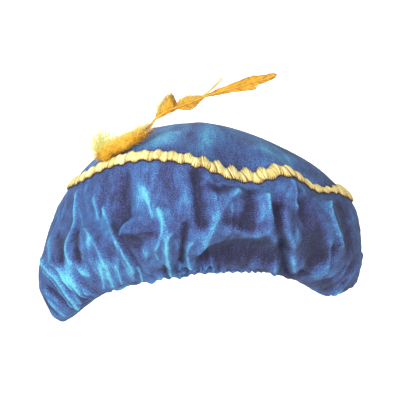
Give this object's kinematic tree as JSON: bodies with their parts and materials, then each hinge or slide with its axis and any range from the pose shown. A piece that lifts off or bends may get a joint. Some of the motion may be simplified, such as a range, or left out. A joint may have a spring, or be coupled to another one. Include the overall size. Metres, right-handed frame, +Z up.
{
  "type": "feathered velvet beret",
  "caption": "Soft gathered velvet beret with a domed crown, puffed sides, an elastic-gathered opening, scalloped braid on the seam and a feather at one side.",
  "frame": {"origin": "centre of the head opening, where the hat sits on a head", "axes": "+Z up through the crown, -Y towards the front of the hat, +X towards the wearer's left, away from the feather"},
  "size_m": [0.3287, 0.3195, 0.2463],
  "materials": {
    "velvet": "crushed pile",
    "casing_velvet": "crushed pile",
    "braid": "lustrous thread",
    "down": "soft down",
    "quill": "smooth",
    "web": "silky"
  },
  "bodies": {
    "root": {"side_panel": "velvet", "crown_tip": "velvet", "hem_casing": "casing_velvet", "gold_braid": "braid", "feather_down": "down", "feather_quill": "quill", "feather_clump_low": "web", "feather_clump_mid": "web", "feather_blade": "web", "feather_barb": "web"}
  },
  "joints": []
}
